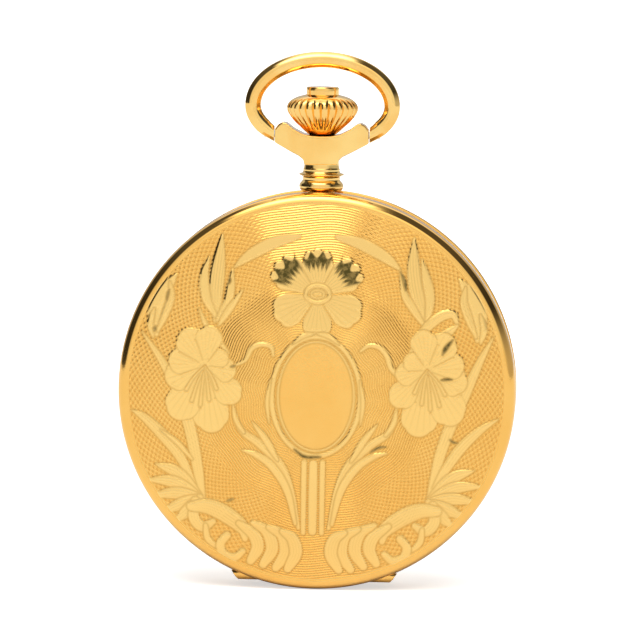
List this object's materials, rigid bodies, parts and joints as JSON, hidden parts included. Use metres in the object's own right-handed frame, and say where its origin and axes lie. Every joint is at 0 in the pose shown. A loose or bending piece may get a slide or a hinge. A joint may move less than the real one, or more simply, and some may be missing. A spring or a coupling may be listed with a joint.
{
  "type": "hunter pocket watch",
  "caption": "Gold hunter pocket watch with engraved spring lid, crown with push button, swinging bow and hand-wound lever movement.",
  "frame": {"origin": "under the case's centre, at the lowest point of its rim", "axes": "+Z to the pendant and bow, -Y out of the front lid, +X to the right of someone who faces the front lid"},
  "size_m": [0.05, 0.014, 0.0676],
  "materials": {
    "engraved_gold": "engraved and engine-turned gold",
    "polished_gold": "polished gold",
    "gilt": "striped gilding",
    "brass": "satin",
    "blued_steel": "heat-blued",
    "steel": "polished",
    "enamel": "fired white enamel",
    "glass": "polished crystal"
  },
  "bodies": {
    "case": {"case_middle": "engraved_gold", "pendant": "polished_gold", "bow_screw_left": "steel", "bow_screw_right": "steel", "front_hinge_pin": "engraved_gold", "back_hinge_pin": "engraved_gold", "cuvette_hinge_pin": "engraved_gold", "bezel": "polished_gold", "crystal": "glass", "dial": "enamel", "mainplate": "gilt", "barrel_bridge": "gilt", "train_bridge": "gilt", "balance_cock": "gilt", "pallet_bridge": "gilt", "regulator": "steel", "hairspring": "blued_steel", "crown_wheel_screw": "steel", "barrel_bridge_screw_1": "blued_steel", "barrel_bridge_screw_2": "blued_steel", "train_bridge_screw_1": "blued_steel", "train_bridge_screw_2": "blued_steel", "balance_cock_screw": "blued_steel", "case_screw_1": "blued_steel", "case_screw_2": "blued_steel"},
    "front_lid": {"front_lid": "engraved_gold"},
    "back_cover": {"back_cover": "engraved_gold"},
    "cuvette": {"cuvette": "polished_gold"},
    "bow": {"bow": "polished_gold"},
    "winding_pinion": {"winding_pinion": "steel"},
    "crown": {"crown": "polished_gold", "crown_stem": "steel"},
    "crown_button": {"crown_button": "polished_gold"},
    "sliding_pinion": {"sliding_pinion": "steel"},
    "lock_spring": {"lock_spring": "steel"},
    "lift_spring": {"lift_spring": "steel"},
    "crown_wheel": {"crown_wheel": "steel"},
    "ratchet": {"ratchet_wheel": "steel", "barrel_arbor": "steel"},
    "click": {"click": "steel"},
    "barrel": {"barrel_drum": "brass", "barrel_cover": "brass", "mainspring": "blued_steel"},
    "centre": {"centre_wheel": "brass", "cannon_pinion": "steel", "minute_hand": "blued_steel"},
    "third": {"third_wheel": "brass"},
    "fourth": {"fourth_wheel": "brass", "seconds_hand": "blued_steel"},
    "escape": {"escape_wheel": "steel"},
    "pallet": {"pallet_fork": "steel"},
    "balance": {"balance_wheel": "brass"},
    "hour": {"hour_wheel": "brass", "hour_hand": "blued_steel"},
    "minute_wheel": {"minute_wheel": "brass"},
    "setting_wheel": {"setting_wheel": "steel"}
  },
  "joints": [
    {"name": "front_lid_hinge", "type": "hinge", "parent": "case", "child": "front_lid", "pos_m": [0, -0.0027, 0.0015], "axis": [1, 0, 0], "range_deg": [0, 75]},
    {"name": "back_cover_hinge", "type": "hinge", "parent": "case", "child": "back_cover", "pos_m": [0, 0.0027, 0.0015], "axis": [-1, 0, 0], "range_deg": [0, 75]},
    {"name": "cuvette_hinge", "type": "hinge", "parent": "case", "child": "cuvette", "pos_m": [0, 0.00385, 0.00245], "axis": [-1, 0, 0], "range_deg": [0, 37.5]},
    {"name": "bow_swing", "type": "hinge", "parent": "case", "child": "bow", "pos_m": [0, 0, 0.0571], "axis": [1, 0, 0], "range_deg": [-100, 100]},
    {"name": "winding_spin", "type": "hinge", "parent": "case", "child": "winding_pinion", "pos_m": [0, 0, 0.0408], "axis": [0, 0, 1], "continuous": true},
    {"name": "crown_pull", "type": "slide", "parent": "winding_pinion", "child": "crown", "axis": [0, 0, 1], "range_m": [0, 0.001]},
    {"name": "button_press", "type": "slide", "parent": "crown", "child": "crown_button", "axis": [0, 0, -1], "range_m": [0, 0.0006], "stiffness_N_per_m": 1500, "springref_m": -0.0002},
    {"name": "sliding_pinion_shift", "type": "slide", "parent": "winding_pinion", "child": "sliding_pinion", "axis": [0, 0, -1], "range_m": [0, 0.0007]},
    {"name": "lock_spring_catch", "type": "hinge", "parent": "case", "child": "lock_spring", "pos_m": [0.0146, -0.0013, 0.04303], "axis": [0, -1, 0], "range_deg": [0, 2]},
    {"name": "lift_spring_rise", "type": "hinge", "parent": "case", "child": "lift_spring", "pos_m": [-0.01967, -0.00115, 0.01271], "axis": [-0.695, 0, -0.719], "range_deg": [0, 2.5]},
    {"name": "crown_wheel_spin", "type": "hinge", "parent": "case", "child": "crown_wheel", "pos_m": [0, 0, 0.0366], "axis": [0, 1, 0], "continuous": true},
    {"name": "ratchet_spin", "type": "hinge", "parent": "case", "child": "ratchet", "pos_m": [-0.0076, 0, 0.0302], "axis": [0, 1, 0], "continuous": true},
    {"name": "click_lift", "type": "hinge", "parent": "case", "child": "click", "pos_m": [-0.0126, 0.0032, 0.0363], "axis": [0, 1, 0], "range_deg": [0, 10], "stiffness_Nm_per_rad": 0.0004, "springref_deg": -5.73},
    {"name": "seconds_spin", "type": "hinge", "parent": "case", "child": "fourth", "pos_m": [0.011, 0, 0.025], "axis": [0, 1, 0], "continuous": true},
    {"name": "third_spin", "type": "hinge", "parent": "case", "child": "third", "pos_m": [0.00599, 0, 0.02811], "axis": [0, 1, 0], "continuous": true},
    {"name": "centre_spin", "type": "hinge", "parent": "case", "child": "centre", "pos_m": [0, 0, 0.025], "axis": [0, 1, 0], "continuous": true},
    {"name": "hour_spin", "type": "hinge", "parent": "case", "child": "hour", "pos_m": [0, 0, 0.025], "axis": [0, 1, 0], "continuous": true},
    {"name": "minute_wheel_spin", "type": "hinge", "parent": "case", "child": "minute_wheel", "pos_m": [0.0014, 0, 0.02897], "axis": [0, 1, 0], "continuous": true},
    {"name": "setting_wheel_spin", "type": "hinge", "parent": "case", "child": "setting_wheel", "pos_m": [0.0006, 0, 0.0342], "axis": [0, 1, 0], "continuous": true},
    {"name": "barrel_spin", "type": "hinge", "parent": "case", "child": "barrel", "pos_m": [-0.0076, 0, 0.0302], "axis": [0, 1, 0], "continuous": true},
    {"name": "escape_spin", "type": "hinge", "parent": "case", "child": "escape", "pos_m": [0.00984, 0, 0.02065], "axis": [0, 1, 0], "continuous": true},
    {"name": "pallet_rock", "type": "hinge", "parent": "case", "child": "pallet", "pos_m": [0.0082, 0, 0.01745], "axis": [0, 1, 0], "range_deg": [-5, 5]},
    {"name": "balance_swing", "type": "hinge", "parent": "case", "child": "balance", "pos_m": [0.0055, 0, 0.0122], "axis": [0, 1, 0], "range_deg": [-150, 150], "stiffness_Nm_per_rad": 0.000004}
  ],
  "couplings": [
    {"joint": "cuvette_hinge", "follows": "back_cover_hinge", "ratio": 0.5},
    {"joint": "lift_spring_rise", "follows": "front_lid_hinge", "ratio": 0.033333},
    {"joint": "lock_spring_catch", "follows": "button_press", "rad_per_m": 58},
    {"joint": "sliding_pinion_shift", "follows": "crown_pull", "ratio": 0.7},
    {"joint": "crown_wheel_spin", "follows": "winding_spin", "ratio": 0.4},
    {"joint": "ratchet_spin", "follows": "winding_spin", "ratio": -0.3},
    {"joint": "third_spin", "follows": "centre_spin", "ratio": -8},
    {"joint": "seconds_spin", "follows": "centre_spin", "ratio": 60},
    {"joint": "barrel_spin", "follows": "centre_spin", "ratio": -0.125},
    {"joint": "hour_spin", "follows": "centre_spin", "ratio": 0.083333},
    {"joint": "minute_wheel_spin", "follows": "centre_spin", "ratio": -0.33333},
    {"joint": "setting_wheel_spin", "follows": "centre_spin", "ratio": 0.46154},
    {"joint": "escape_spin", "follows": "centre_spin", "ratio": -480}
  ]
}
